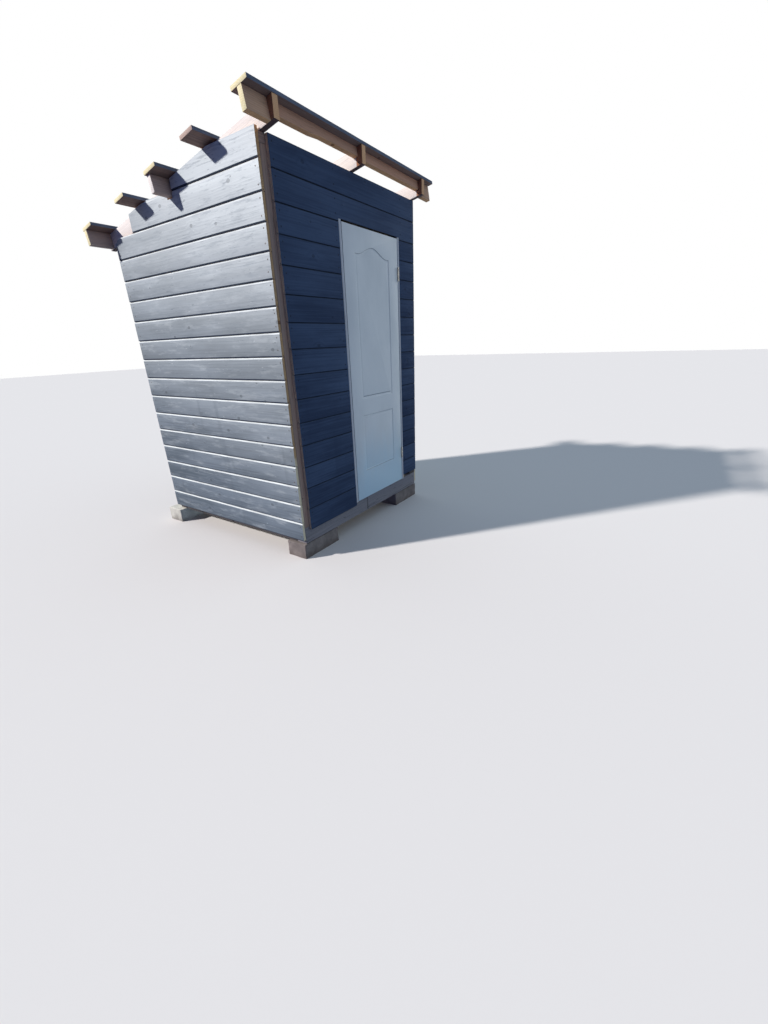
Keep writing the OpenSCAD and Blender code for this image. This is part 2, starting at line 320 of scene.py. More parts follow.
def stainedBoards(name, darker, lighter, sheenAndSmearTone, sheenAndSmear, shine):
    # Graphite stain on spruce boards: grain and knots show through; painted sheen makes the upper boards and
    # the front lighter, with painted glints
    material, tree, shader = startMaterial(name)
    darker, lighter, sheenAndSmearTone = colour(*darker), colour(*lighter), colour(*sheenAndSmearTone)
    log = logPattern(tree, 0.012)
    grain = log["grain"]
    place, height = ownPlace(tree)
    back = addNode(tree, "SeparateXYZ", {0: place}).outputs[1]
    patches = noise(tree, grain, (1.6, 6, 6), 3.0, 0.55)
    streaks = noise(tree, grain, (2.2, 110, 110), 3.0, 0.65)
    blend = addUp(tree, times(tree, patches, 0.7), (log["tone"], 0.2), (streaks, 0.45), (log["rings"], -0.07))
    paintedSheen = addUp(tree, height, (patches, 0.45), (back, -0.35))   # painted sheen: lighter upwards and towards the front
    paintedSheen = plus(tree, fade(tree, paintedSheen, 0.6, 1.6, 0.0, 0.2), fade(tree, paintedSheen, 1.6, 3.3, 0.0, 0.8))
    smudges = fade(tree, noise(tree, grain, (4.5, 22, 22), 4.0, 0.65), 0.5, 0.72, 0.0, sheenAndSmear * 0.2)
    # Mottling towards the lighter tone, as strong as the painted sheen
    sheenMottle = fade(tree, noise(tree, grain, (6, 42, 42), 4.0, 0.7), 0.5, 0.66)
    sheenMottle = times(tree, sheenMottle, times(tree, paintedSheen, sheenAndSmear * 0.5))
    stains = fade(tree, noise(tree, place, (7, 7, 0.9), 2.0), 0.56, 0.74)
    stains = times(tree, stains, fade(tree, height, 1.5, 0.7, 0.0, 0.5))
    # Painted glints: small light spots standing in for highlights on the grain
    paintedGlints = fade(tree, noise(tree, grain, (22, 70, 70), 2.0, 0.6), 0.7, 0.78, 0.0, sheenAndSmear * 0.4)
    flecks = fade(tree, noise(tree, grain, (16, 130, 130), 2.0, 0.6), 0.34, 0.27, 0.0, 0.45)
    coat = mixColour(tree, fade(tree, blend, 0.42, 0.92), darker, lighter)
    coat = paintOver(tree, coat, (times(tree, paintedSheen, sheenAndSmear), sheenAndSmearTone), (smudges, sheenAndSmearTone),
                     (sheenMottle, lighter), (stains, darker), (paintedGlints, sheenAndSmearTone), (flecks, darker),
                     (times(tree, log["knot"], 0.38), shaded(darker, 0.45, 0.42, 0.4)))
    relief = addUp(tree, times(tree, log["rings"], 0.2), (log["fibres"], 0.6), (log["halo"], 0.9),
                   (log["knot"], -0.8))
    fillSockets(tree, shader, {"Base Color": coat, "Roughness": fade(tree, blend, 0.4, 0.95, 0.62, 0.5),
                               "Normal": bump(tree, relief, 0.0014, 0.7), "Specular IOR Level": shine})
    return material


def plainStain(name, tone, shine):
    # A plain stain with worn patches: on the narrow slopes along a joint, where it also carries painted
    # highlight and painted shade, and on other small faces
    material, tree, shader = startMaterial(name)
    grain = addNode(tree, "Attribute", attribute_name="grain").outputs["Vector"]
    worn = noise(tree, grain, (6, 60, 60), 3.0, 0.6)
    tone = colour(*tone)
    coat = mixColour(tree, fade(tree, worn, 0.35, 0.7), shaded(tone, 0.72, 0.72, 0.72), tone)
    fillSockets(tree, shader, {"Base Color": coat, "Roughness": 0.6, "Specular IOR Level": shine})
    return material


def rawTimber(name, fresh, deep, grey, greyAmount, cracks=0.0, creamBelow=None):
    # Bare sawn timber that has stood outside; below a given height it can be still fresh
    material, tree, shader = startMaterial(name)
    fresh, deep, grey = colour(*fresh), colour(*deep), colour(*grey)
    log = logPattern(tree, 0.009)
    grain, fibres = log["grain"], log["fibres"]
    weather = noise(tree, grain, (1.2, 12, 12), 3.0, 0.6)
    weather = addUp(tree, weather, (minus(tree, log["tone"], 0.5), 0.35))
    body = paintOver(tree, fresh, (times(tree, log["rings"], 0.4), deep),
                     (fade(tree, fibres, 0.35, 0.75, 0.0, 0.35), deep),
                     (fade(tree, weather, 0.3, 0.75, greyAmount * 0.3, greyAmount), grey))
    if creamBelow:
        place, height = ownPlace(tree)
        height = addUp(tree, height, (noise(tree, place, (9, 9, 5)), 0.9))
        cream = fade(tree, height, creamBelow + 0.5, creamBelow + 0.3)
        body = mixColour(tree, cream, body, colour(232, 214, 182))
    split = minus(tree, noise(tree, grain, (1.3, 42, 42), 1.0, 0.4), 0.5)
    crack = fade(tree, calc(tree, "ABSOLUTE", split), 0.012, 0.0, 0.0, cracks)
    body = paintOver(tree, body, (times(tree, log["knot"], 0.8), shaded(deep, 0.35, 0.3, 0.3)),
                     (crack, (0.012, 0.009, 0.007, 1)))
    relief = addUp(tree, fibres, (log["rings"], 0.3), (crack, -2.5), (log["knot"], 0.5))
    fillSockets(tree, shader, {"Base Color": body, "Roughness": fade(tree, fibres, 0.2, 0.8, 0.66, 0.86),
                               "Normal": bump(tree, relief, 0.0012, 0.7), "Specular IOR Level": 0.25})
    return material


def castConcrete(name, darker, lighter):
    # Clouded and sandy, with air holes, and splashed with earth near the ground
    material, tree, shader = startMaterial(name)
    place, height = ownPlace(tree)
    clouds = noise(tree, place, (9, 9, 9), 4.0, 0.6)
    sand = noise(tree, place, (420, 420, 420), 2.0, 0.7)
    pits = addNode(tree, "TexVoronoi", {"Vector": place, "Scale": 70.0}).outputs["Distance"]
    pit = times(tree, fade(tree, pits, 0.24, 0.12), fade(tree, clouds, 0.45, 0.6))
    splash = fade(tree, addUp(tree, height, (clouds, 0.07)), 0.09, 0.03, 0.0, 0.6)
    body = mixColour(tree, fade(tree, clouds, 0.3, 0.7), colour(*darker), colour(*lighter))
    body = paintOver(tree, body, (fade(tree, sand, 0.5, 0.75, 0.0, 0.25), colour(76, 70, 66)),
                     (times(tree, pit, 0.6), colour(60, 54, 52)), (splash, colour(90, 76, 68)))
    relief = addUp(tree, sand, (clouds, 1.0), (pit, -2.0))
    fillSockets(tree, shader, {"Base Color": body, "Roughness": 0.92,
                               "Normal": bump(tree, relief, 0.0018, 0.8)})
    return material


def whiteLeaf(name, tone, low):
    # Factory-primed white over an embossed wood grain, with painted shade making it bluer near the ground
    material, tree, shader = startMaterial(name)
    tone = colour(*tone)
    place, height = ownPlace(tree)
    emboss = noise(tree, place, (260, 260, 9), 2.0, 0.6)
    dust = noise(tree, place, (5, 5, 2.2), 3.0, 0.6)
    paintedShadeLow = fade(tree, addUp(tree, height, (dust, 0.4)), 1.1, 0.45, 0.0, 0.8)
    body = paintOver(tree, tone, (fade(tree, dust, 0.35, 0.75), shaded(tone, 0.93, 0.93, 0.93)),
                     (paintedShadeLow, colour(*low)))
    fillSockets(tree, shader, {"Base Color": body, "Roughness": fade(tree, dust, 0.3, 0.8, 0.34, 0.5),
                               "Normal": bump(tree, emboss, 0.0004, 0.5)})
    return material


def wornSteel(name, plain, rust, amount):
    material, tree, shader = startMaterial(name)
    spots = noise(tree, ownPlace(tree)[0], (130, 130, 90), 4.0, 0.65)
    rusty = fade(tree, spots, 0.62 - amount, 0.72 - amount * 0.6)
    fillSockets(tree, shader, {"Base Color": mixColour(tree, rusty, colour(*plain), colour(*rust)),
                               "Metallic": minus(tree, 1.0, rusty),
                               "Roughness": fade(tree, spots, 0.3, 0.8, 0.34, 0.8),
                               "Normal": bump(tree, spots, 0.0003, 0.5)})
    return material


# Finishes, each colour as the eye sees it, 0 to 255
# Lit and shaded copies of one graphite stain: the left wall's is lighter with strong painted sheen, the
# front's darker and bluer, painted shade; stainPlain has only a little painted sheen
stainPaintedSun = stainedBoards("stainPaintedSun", (74, 84, 94), (110, 120, 131), (222, 226, 226), 0.96, 0.3)
stainPaintedShade = stainedBoards("stainPaintedShade", (48, 61, 86), (74, 91, 119), (84, 99, 127), 0.3, 0.06)
stainPlain = stainedBoards("stainPlain", (58, 68, 84), (92, 104, 121), (112, 122, 136), 0.3, 0.15)
# Painted highlight: near white on the upward slopes of the sunlit wall's joints
arrisPaintedHighlight = plainStain("arrisPaintedHighlight", (228, 231, 229), 0.3)
arrisFront = plainStain("arrisFront", (72, 86, 110), 0.06)
# Painted shade: darker on the downward slopes of the joints, and in the front's joints
groovePaintedShade = plainStain("groovePaintedShade", (66, 74, 88), 0.05)
jointPaintedShade = plainStain("jointPaintedShade", (42, 52, 70), 0.05)
gapShade = plainStain("gapShade", (28, 30, 36), 0.05)
battenEdge = plainStain("battenEdge", (112, 118, 134), 0.05)
stainedSteel = plainStain("stainedSteel", (38, 45, 58), 0.1)
freshEnd = rawTimber("freshEnd", (252, 240, 196), (234, 208, 150), (206, 186, 152), 0.3, 0.1)
pinkEnd = rawTimber("pinkEnd", (198, 170, 154), (178, 148, 134), (170, 152, 146), 0.4, 0.1)
warmEnd = rawTimber("warmEnd", (248, 192, 142), (226, 164, 112), (210, 160, 124), 0.4, 0.1)
boardEnd = rawTimber("boardEnd", (250, 230, 194), (222, 192, 148), (150, 130, 112), 0.35, 0.2)
# Painted shade: a darker copy of the end wood for the left boards' front ends, cream lower down
cornerEndPaintedShade = rawTimber("cornerEndPaintedShade", (206, 166, 120), (166, 124, 84), (150, 126, 104), 0.5, 0.3, 0.75)
sawnPine = rawTimber("sawnPine", (214, 188, 150), (172, 138, 98), (150, 138, 124), 0.5, 0.25)
# Painted shade: a darker copy of the pine for the front left post and the front plate, seen in the recess at
# the corner
cornerPinePaintedShade = rawTimber("cornerPinePaintedShade", (176, 146, 130), (124, 98, 88), (138, 128, 128), 0.6, 0.4)
jambPine = rawTimber("jambPine", (210, 208, 212), (188, 184, 188), (180, 178, 186), 0.5, 0.2)
# Copies of one grey sill wood: the front sill's lightened, painted light, the others darkened, painted shade
greySillPaintedLight = rawTimber("greySillPaintedLight", (150, 144, 146), (108, 100, 102), (132, 128, 134), 0.8, 0.7)
darkSillPaintedShade = rawTimber("darkSillPaintedShade", (98, 90, 86), (70, 64, 60), (86, 82, 82), 0.8, 0.7)
rafterPine = rawTimber("rafterPine", (250, 240, 232), (232, 212, 198), (226, 214, 208), 0.45, 0.15)
# Painted shade: warm dark brown for the rafters' sides in front of the inner board, and darker for their
# undersides
rafterSidePaintedShade = rawTimber("rafterSidePaintedShade", (190, 132, 96), (156, 100, 70), (150, 112, 90), 0.5, 0.2)
underPaintedShade = rawTimber("underPaintedShade", (104, 82, 80), (78, 56, 54), (84, 74, 80), 0.5, 0.2)
roofPine = rawTimber("roofPine", (152, 122, 108), (114, 82, 70), (110, 98, 98), 0.6, 0.2)
# Painted light: paler and warmer copies of the pine for the front boards, whose faces lie in shade
stubPinePaintedLight = rawTimber("stubPinePaintedLight", (223, 176, 142), (190, 129, 89), (192, 159, 137), 0.6, 0.2)
innerPinePaintedLight = rawTimber("innerPinePaintedLight", (222, 164, 132), (190, 130, 98), (180, 144, 124), 0.5, 0.2)
greyPine = rawTimber("greyPine", (202, 174, 160), (162, 136, 124), (158, 144, 142), 0.6, 0.2)
# Copies of one concrete: the back blocks pale, painted light, the front ones darker, painted shade
blockConcretePaintedShade = castConcrete("blockConcretePaintedShade", (112, 102, 98), (144, 132, 126))
paleConcretePaintedLight = castConcrete("paleConcretePaintedLight", (198, 192, 180), (230, 224, 210))
leafWhite = whiteLeaf("leafWhite", (230, 231, 231), (194, 222, 236))
# A greyer copy of the white: painted shade on the leaf's edges, and darker in the level mouldings
leafDimmedAndShaded = whiteLeaf("leafDimmedAndShaded", (164, 168, 172), (140, 158, 168))
hingeSteel = wornSteel("hingeSteel", (176, 176, 172), (112, 64, 38), 0.08)
screwSteel = wornSteel("screwSteel", (84, 80, 78), (70, 44, 30), 0.2)
print("materials ready")


# Finishing a piece

def finishPiece(piece, nodes, material=None, body="frame"):
    if material:
        piece.data.materials.append(material)
    activate(piece)
    bpy.ops.object.shade_smooth_by_angle(angle=softAngle)
    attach(piece, body)
    if nodes:
        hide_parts(*nodes)


def roughSawn(piece, depth, grainSize):
    # Uneven faces and edges, only ever inwards, so that the piece keeps its size
    texture = bpy.data.textures.new("sawn", "CLOUDS")
    texture.noise_scale = grainSize
    applyModifier(piece, "DISPLACE", texture=texture, texture_coords="LOCAL", strength=depth, mid_level=1.0)


sawing = {
    "every": 0.09,      # how far apart a timber can bend
    "lumps": 0.05,      # size of its uneven places
    "uneven": 0.0012,   # how deep they are
    "edge": 0.0025,     # eased edge
}


def makeTimber(name, low, high, along, seed, woods, tilt=0.0, edge=sawing["edge"], uneven=sawing["uneven"]):
    # One sawn timber with eased, slightly wavy edges; the second wood is for its ends
    timber = addBlock(name, low, high, tilt)
    across = {"x": downRoof if tilt else alongY, "y": alongX, "z": alongX}[along]
    axis = {"x": alongX, "y": downRoof if tilt else alongY, "z": alongZ}[along]
    sliceAlong(timber, axis, sawing["every"])
    softenEdges(timber, edge)
    roughSawn(timber, uneven, sawing["lumps"])
    markGrain(timber, axis, across, seed)
    for wood in woods:
        timber.data.materials.append(wood)
    paintEnds(timber, axis)
    return timber


def paintFaces(piece, index, test):
    for face in piece.data.polygons:
        if test(face):
            face.material_index = index


def paintEnds(timber, axis):
    for face in timber.data.polygons:
        face.material_index = 1 if abs(face.normal.dot(axis)) > 0.8 else 0


def fillNode(name, node, along, seed, woods, **evenness):
    # A timber as large as its node
    low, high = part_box(node)
    return makeTimber(name, low, high, along, seed, woods, **evenness)


# Concrete blocks at the corners
blocks = {
    "edge": 0.007,      # worn arris
    "chips": 0.007,     # how deep the wear goes
    "chipSize": 0.035,
    "cuts": 11,         # how finely a block is divided before it is worn
    "foot": 0.009,      # what lies lower is set flat on the floor
}


def makeConcreteBlocks():
    for node in ("pier_front_left", "pier_front_right", "pier_back_left", "pier_back_right"):
        low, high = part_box(node)
        block = addBlock(node.replace("pier", "block"), low, high)
        editAll(block)
        bpy.ops.mesh.subdivide(number_cuts=blocks["cuts"])
        closeEdit()
        softenEdges(block, blocks["edge"], 3)
        roughSawn(block, blocks["chips"], blocks["chipSize"])
        pick(block, "point", lambda place: place.z < blocks["foot"])
        bpy.ops.transform.resize(value=(1, 1, 0), center_override=(0, 0, 0))
        closeEdit()
        # Back blocks take painted light, front blocks painted shade
        finishPiece(block, [node], paleConcretePaintedLight if "back" in node else blockConcretePaintedShade)
    print("concrete blocks done")


# Sill beams, joists and floor
floor = {
    "joist": 0.05,      # width of a joist
    "boards": 10,       # floor boards
    "gap": 0.003,       # between floor boards
    "boardEdge": 0.0015,
    "sillEdge": 0.006,  # the sills are older and more worn
    "sillUneven": 0.003,
}


def makeFloor():
    for seed, node in enumerate(("sill_front", "sill_back", "sill_left", "sill_right")):
        low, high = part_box(node)
        along = "x" if high.x - low.x > high.y - low.y else "y"
        # The front sill takes painted light, the others painted shade
        wood = greySillPaintedLight if node == "sill_front" else darkSillPaintedShade
        sill = fillNode(node.replace("sill", "sillBeam"), node, along, 3 + seed, (wood, wood),
                        edge=floor["sillEdge"], uneven=floor["sillUneven"])
        finishPiece(sill, [node])
    low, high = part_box("floor_joists")
    middle = (low.x + high.x - floor["joist"]) / 2
    joists = []
    for i, x in enumerate((low.x, middle, high.x - floor["joist"])):
        joists.append(makeTimber("joist", (x, low.y, low.z), (x + floor["joist"], high.y, high.z), "y",
                                 10 + i, (sawnPine, freshEnd)))
    finishPiece(joinPieces("floorJoists", joists), ["floor_joists"])
    low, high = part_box("floor_boards")
    width = (high.y - low.y) / floor["boards"]
    planks = []
    for i in range(floor["boards"]):
        start = low.y + i * width
        end = start + width - floor["gap"]
        planks.append(makeTimber("plank", (low.x, start, low.z), (high.x, end, high.z), "x", 20 + i,
                                 (sawnPine, freshEnd), edge=floor["boardEdge"]))
    finishPiece(joinPieces("floorBoards", planks), ["floor_boards"])
    print("sills and floor done")


# Posts, studs, plates and the door frame
framing = {
    "studEdge": 0.002,
    "jambEdge": 0.0015,
    "jambUneven": 0.0006,
    "stopWidth": 0.012,     # of a door stop, seen from the front
    "stopEdge": 0.001,
    "stopUneven": 0.0004,
}


def makeFraming():
    uprights = ("post_front_left", "post_front_right", "post_back_left", "post_back_right",
                "door_post_left", "door_post_right", "stud_back")
    for seed, node in enumerate(uprights):
        # The front left post takes the pine's darker copy, painted shade; the front right post the darker
        # sill copy
        wood = {"post_front_left": cornerPinePaintedShade, "post_front_right": darkSillPaintedShade}.get(node, sawnPine)
        finishPiece(fillNode("raw_" + node, node, "z", 40 + seed, (wood, freshEnd)), [node])
    for seed, node in enumerate(("stud_left", "stud_right")):
        low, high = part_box(node)
        stud = addBlock("raw_" + node, low, high)
        slicePiece(stud, (0, low.y, high.z), offRoof, dropOuter=True)
        softenEdges(stud, framing["studEdge"])
        markGrain(stud, alongZ, alongX, 50 + seed)
        finishPiece(stud, [node], material=sawnPine)
    for seed, node in enumerate(("plate_front", "plate_back", "door_header")):
        # The front plate takes the pine's darker copy, painted shade
        wood = cornerPinePaintedShade if node == "plate_front" else sawnPine
        beam = fillNode("raw_" + node, node, "x", 60 + seed, (wood, freshEnd, gapShade))
        if node == "door_header":   # in the shade over the leaf
            paintFaces(beam, 2, lambda face: face.normal.z < -0.7)
        finishPiece(beam, [node])
    for seed, node in enumerate(("jamb_left", "jamb_right")):
        jamb = fillNode("raw_" + node, node, "z", 66 + seed, (jambPine, jambPine),
                        edge=framing["jambEdge"], uneven=framing["jambUneven"])
        finishPiece(jamb, [node])
    low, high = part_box("door_stops")
    strips = []
    for i, x in enumerate((low.x, high.x - framing["stopWidth"])):
        strips.append(makeTimber("strip", (x, low.y, low.z), (x + framing["stopWidth"], high.y, high.z), "z",
                                 70 + i, (jambPine, jambPine), edge=framing["stopEdge"],
                                 uneven=framing["stopUneven"]))
    finishPiece(joinPieces("doorStopStrips", strips), ["door_stops"])
    print("posts and door frame done")


# Cladding: one tongue-and-groove board, copied up each wall and cut to the wall's own outline
cladding = {
    "pitch": 0.1427,        # joint to joint on the sides and the back
    "fullRows": 15,         # rows of that height on the sides, before two of other heights
    "secondRow": 0.149,     # height of the second highest board on the sides
    "plainRows": 13,        # rows that the roof's slope doesn't reach
    "joint": (0.003, 0.009, 0.007),       # gap, and the slopes above and below it, where they catch the sun
    "frontJoint": (0.002, 0.005, 0.004),  # the same on the front
    "endArris": 0.0025,     # worn edge at one end
    "tongue": 0.006,        # thickness of the tongue
    "tongueOut": 0.008,
    "tongueAt": 0.58,       # how deep in the board it lies, as a share of the thickness
    "play": 0.0004,         # beside the tongue in its groove
    "grooveSpare": 0.001,   # behind the tongue in its groove
    "spare": 0.1,           # how much larger the cutter for the doorway is
    "stagger": 0.004,       # how unevenly the ends were sawn
    "frontTop": 0.1492,     # from the upper edge of the front cladding to its first joint
    "frontPitch": 0.1552,   # joint to joint left of and over the door
    "narrowPitch": 0.1404,  # joint to joint right of the door
    "lastRow": 1.2,         # the lowest front board takes the rest, up to this many times the pitch
    "leastRow": 0.6,        # right of the door, less than this share of the pitch is no row
}


def makeBoard(length, height, thick, joint, highest=False):
    # Face towards -Y, length along +X, lower edge at z 0; the highest board has a plain sawn upper edge
    gap, upperSlope, lowerSlope = joint
    top = height if highest else height - gap
    board = addBlock("board", (0, 0, 0), (length, thick, top))
    for level, chamfer in ((top, upperSlope), (0, lowerSlope)):
        if highest and level == top:
            continue
        pick(board, "edge", lambda a, b: max(a.y, b.y, abs(a.z - level), abs(b.z - level)) < tiny)
        bpy.ops.mesh.bevel(offset=chamfer, segments=2, profile=0.6, affect="EDGES")
        closeEdit()
    pick(board, "edge", lambda a, b: max(a.y, b.y) < tiny and max(a.x, b.x) < tiny)
    bpy.ops.mesh.bevel(offset=cladding["endArris"], segments=1, affect="EDGES")
    closeEdit()
    middle = thick * cladding["tongueAt"]
    half = cladding["tongue"] / 2
    for y in (middle - half, middle + half):
        slicePiece(board, (0, y, 0), alongY)
    if not highest:
        pick(board, "face", lambda centre, normal: normal.z > 0.9 and abs(centre.y - middle) < half)
        bpy.ops.mesh.extrude_region_move(TRANSFORM_OT_translate={"value": (0, 0, cladding["tongueOut"])})
        closeEdit()
    half += cladding["play"]
    over = 0.01   # the cutter reaches past the board
    groove = addBlock("groove", (-over, middle - half, -over),
                      (length + over, middle + half, cladding["tongueOut"] + cladding["grooveSpare"]))
    cutWith(board, groove)
    return board


def paintOutside(piece, outward, coats):
    # Stained are the face and the slopes at its joints; the ends and the inside are bare
    for coat in coats:
        piece.data.materials.append(coat)
    for face in piece.data.polygons:
        if face.normal.dot(outward) < -0.9:
            face.material_index = 4
        elif face.normal.dot(outward) < 0.2:
            face.material_index = 3
        # Upward and slanted faces take the second coat, painted highlight on the left wall; downward slopes
        # take the third, painted shade
        elif abs(face.normal.z) > 0.25:
            face.material_index = 1 if face.normal.z > 0 else 2
        elif face.normal.dot(outward) < 0.9:
            face.material_index = 1


def layWall(name, node, turn, along, outward, seed, coats):
    # Boards from the bottom up, each cut to the node's outline where it crosses it
    low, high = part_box(node)
    thick = min(high.x - low.x, high.y - low.y)
    length = max(high.x - low.x, high.y - low.y)
    outline = copyNode(node, "outline")
    editAll(outline)
    wider = tuple(3.0 if abs(value) > 0.5 else 1.0 for value in outward)
    bpy.ops.transform.resize(value=wider, center_override=(low + high) / 2)
    closeEdit()
    start = Vector((low.x if turn == -90 else high.x, low.y if turn == 90 else high.y, 0))
    rng = random.Random(seed)
    pitch = cladding["pitch"]
    levels = [low.z + i * pitch for i in range(cladding["fullRows"] + 1) if low.z + i * pitch < high.z]
    joint = cladding["joint"]
    patterns = [makeBoard(length, pitch, thick, joint)] * len(levels)
    if len(levels) > cladding["fullRows"]:
        levels.append(levels[-1] + cladding["secondRow"])
        patterns[-1] = makeBoard(length, cladding["secondRow"], thick, joint)
        patterns.append(makeBoard(length, high.z - levels[-1], thick, joint, highest=True))
    boards = []
    for i, level in enumerate(levels):
        board = copyPiece(patterns[i], "board")
        first, last = (rng.uniform(0, cladding["stagger"]) for end in range(2))
        activate(board)
        board.scale = ((length - first - last) / length, 1, 1)
        board.location = (first, 0, 0)
        setPlace()
        movePiece(board, start + alongZ * level, math.radians(turn))
        if i >= cladding["plainRows"]:
            applyModifier(board, "BOOLEAN", operation="INTERSECT", object=outline, solver="EXACT")
        if i == len(levels) - 1 and turn in (-90, 90):   # its thin end behind the middle batten is left off
            slicePiece(board, (0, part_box("batten_middle")[1].y, 0), alongY, dropOuter=True)
        if board.data.polygons:
            markGrain(board, along, alongZ, seed * 100 + i)
            paintOutside(board, outward, coats)
            boards.append(board)
    for pattern in set(patterns):
        bpy.data.objects.remove(pattern)
    bpy.data.objects.remove(outline)
    finishPiece(joinPieces(name, boards), [node])


def layFront():
    # Two long boards over the door, then shorter ones beside it
    low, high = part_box("front_left_of_door")
    farLow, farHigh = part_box("front_right_of_door")
    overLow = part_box("front_over_door")[0]
    thick = high.y - low.y
    first = high.z - cladding["frontTop"]
    second = first - cladding["frontPitch"]
    rows = [(low.x, farHigh.x, first, high.z), (low.x, farHigh.x, second, first)]
    top = second
    while top - low.z > cladding["frontPitch"] * cladding["lastRow"]:
        rows.append((low.x, high.x, top - cladding["frontPitch"], top))
        top -= cladding["frontPitch"]
    rows.append((low.x, high.x, low.z, top))
    top = second
    while top - low.z > cladding["narrowPitch"] * cladding["leastRow"]:
        bottom = max(farLow.z, top - cladding["narrowPitch"])
        rows.append((farLow.x, farHigh.x, bottom, top))
        top = bottom
    rng = random.Random(7)
    boards = []
    for i, (x0, x1, z0, z1) in enumerate(rows):
        nudge = rng.uniform(0, cladding["stagger"]) if x0 == low.x else 0
        board = makeBoard(x1 - x0 - nudge, z1 - z0, thick, cladding["frontJoint"], highest=i == 0)
        movePiece(board, (x0 + nudge, low.y, z0))
        if i == 1:   # cut round the door head
            spare = cladding["spare"]
            cutWith(board, addBlock("head", (overLow.x, low.y - spare, z0 - spare),
                                    (farLow.x, low.y + spare, overLow.z)))
        markGrain(board, alongX, alongZ, 700 + i)
        paintOutside(board, -alongY, (stainPaintedShade, arrisFront, jointPaintedShade, boardEnd, boardEnd, gapShade))
        # Painted shade in the joints, and on what looks down on the door
        paintFaces(board, 2, lambda face: abs(face.normal.z) > 0.9 and face.center.y < low.y + thick / 2)
        paintFaces(board, 5, lambda face: face.normal.z < -0.9 and abs(face.center.z - overLow.z) < tiny)
        boards.append(board)
    finishPiece(joinPieces("frontCladding", boards),
                ["front_left_of_door", "front_right_of_door", "front_over_door"])


def makeCladding():
    # The left wall's coats carry painted sheen, painted highlight and painted shade; the other walls'
    # downward slopes carry painted shade
    paintedSunCoats = (stainPaintedSun, arrisPaintedHighlight, groovePaintedShade, cornerEndPaintedShade, boardEnd)
    plain = (stainPlain, stainPlain, groovePaintedShade, boardEnd, boardEnd)
    layWall("leftCladding", "wall_left", -90, alongY, -alongX, 1, paintedSunCoats)
    layWall("rightCladding", "wall_right", 90, alongY, alongX, 2, plain)
    layWall("backCladding", "wall_back", 180, alongX, alongY, 3, plain)
    layFront()
    print("cladding done")


# Screws: one countersunk head, copied in pairs on every board over each post
screws = {
    "radius": 0.0042,
    "depth": 0.002,
    "proud": 0.0004,
    "steps": ((0.0007, 0.0004), (0.0016, 0), (0.0004, -0.0012)),  # rounded rim, flat, and the recess
    "share": (0.24, 0.76),  # how far up a board the two screws sit
    "scatter": 0.006,
    "frontScatter": 0.005,
    "overPost": 0.02,       # screws can sit this far above a post's top
    "overDoor": (0.265, 0.185, 0.11, 0.03),  # below the upper edge of the front cladding
}


def makeScrew():
    # Head towards -Y, its middle at the origin
    clearSelection()
    bpy.ops.mesh.primitive_cylinder_add(vertices=12, radius=screws["radius"], depth=screws["depth"],
                                        rotation=(math.pi / 2, 0, 0))
    screw = bpy.context.object
    setPlace()
    pick(screw, "face", lambda centre, normal: normal.y < -0.9)
    for width, step in screws["steps"]:
        bpy.ops.mesh.inset(thickness=width, depth=step)
    closeEdit()
    movePiece(screw, (0, screws["depth"] / 2 - screws["proud"], 0))
    return screw


def screwRows(name, places, turn, steel):
    pattern = makeScrew()
    heads = []
    for place in places:
        head = copyPiece(pattern, "head")
        movePiece(head, place, math.radians(turn))
        heads.append(head)
    bpy.data.objects.remove(pattern)
    finishPiece(joinPieces(name, heads), [], steel)


def makeScrews():
    rng = random.Random(11)
    pitch = cladding["pitch"]
    loose = screws["scatter"]
    for name, node, posts, turn in (
            ("leftScrews", "wall_left", ("post_front_left", "post_back_left"), -90),
            ("rightScrews", "wall_right", ("post_front_right", "stud_right", "post_back_right"), 90),
            ("backScrews", "wall_back", ("post_back_left", "stud_back", "post_back_right"), 180)):
        low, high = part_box(node)
        places = []
        for post in posts:
            postLow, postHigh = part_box(post)
            middle = (postLow + postHigh) / 2
            for i in range(int((high.z - low.z) / pitch)):
                for share in screws["share"]:
                    z = low.z + (i + share) * pitch + rng.uniform(-loose, loose)
                    if z > postHigh.z + screws["overPost"]:
                        continue
                    side = rng.uniform(-loose, loose)
                    if turn == 180:
                        places.append((middle.x + side, high.y, z))
                    else:
                        places.append((low.x if turn < 0 else high.x, middle.y + side, z))
        screwRows(name, places, turn, screwSteel)
    low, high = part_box("front_left_of_door")
    loose = screws["frontScatter"]
    places = []
    for post in ("post_front_left", "door_post_left", "door_post_right", "post_front_right"):
        postLow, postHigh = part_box(post)
        left = max(postLow.x, low.x)
        right = min(postHigh.x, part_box("front_right_of_door")[1].x)
        step = cladding["narrowPitch"] if "right" in post else cladding["frontPitch"]
        top = high.z - cladding["frontTop"] - cladding["frontPitch"]
        while top - low.z > step * cladding["leastRow"]:
            for share in screws["share"]:
                places.append(((left + right) / 2 + rng.uniform(-loose, loose), low.y,
                               top - step * (1 - share) + rng.uniform(-loose, loose)))
            top -= step
        for drop in screws["overDoor"]:
            places.append(((left + right) / 2, low.y, high.z - drop))
    screwRows("frontScrews", places, 0, stainedSteel)
    print("screws done")


# Roof frame: rafters on edge, flat battens, and boards on edge below three of the battens
roof = {
    "rafterDepth": 0.1,
    "spare": 0.12,          # extra length of a rafter before it is trimmed plumb
    "battenThick": 0.022,
    "battenEdge": 0.0018,
    "edgeThick": 0.035,
    "stubHeight": 0.099,
    "frontStubHeight": 0.103,
    "frontInnerHeight": 0.062,
    "stepPlace": 0.4,       # where the front inner board's lower edge steps up, from the left cladding
    "stepDepth": 0.009,
}


def slopedTimber(name, middle, size, along, seed, woods, **evenness):
    half = Vector(size) / 2
    return makeTimber(name, middle - half, middle + half, along, seed, woods, tilt=-roofFall, **evenness)


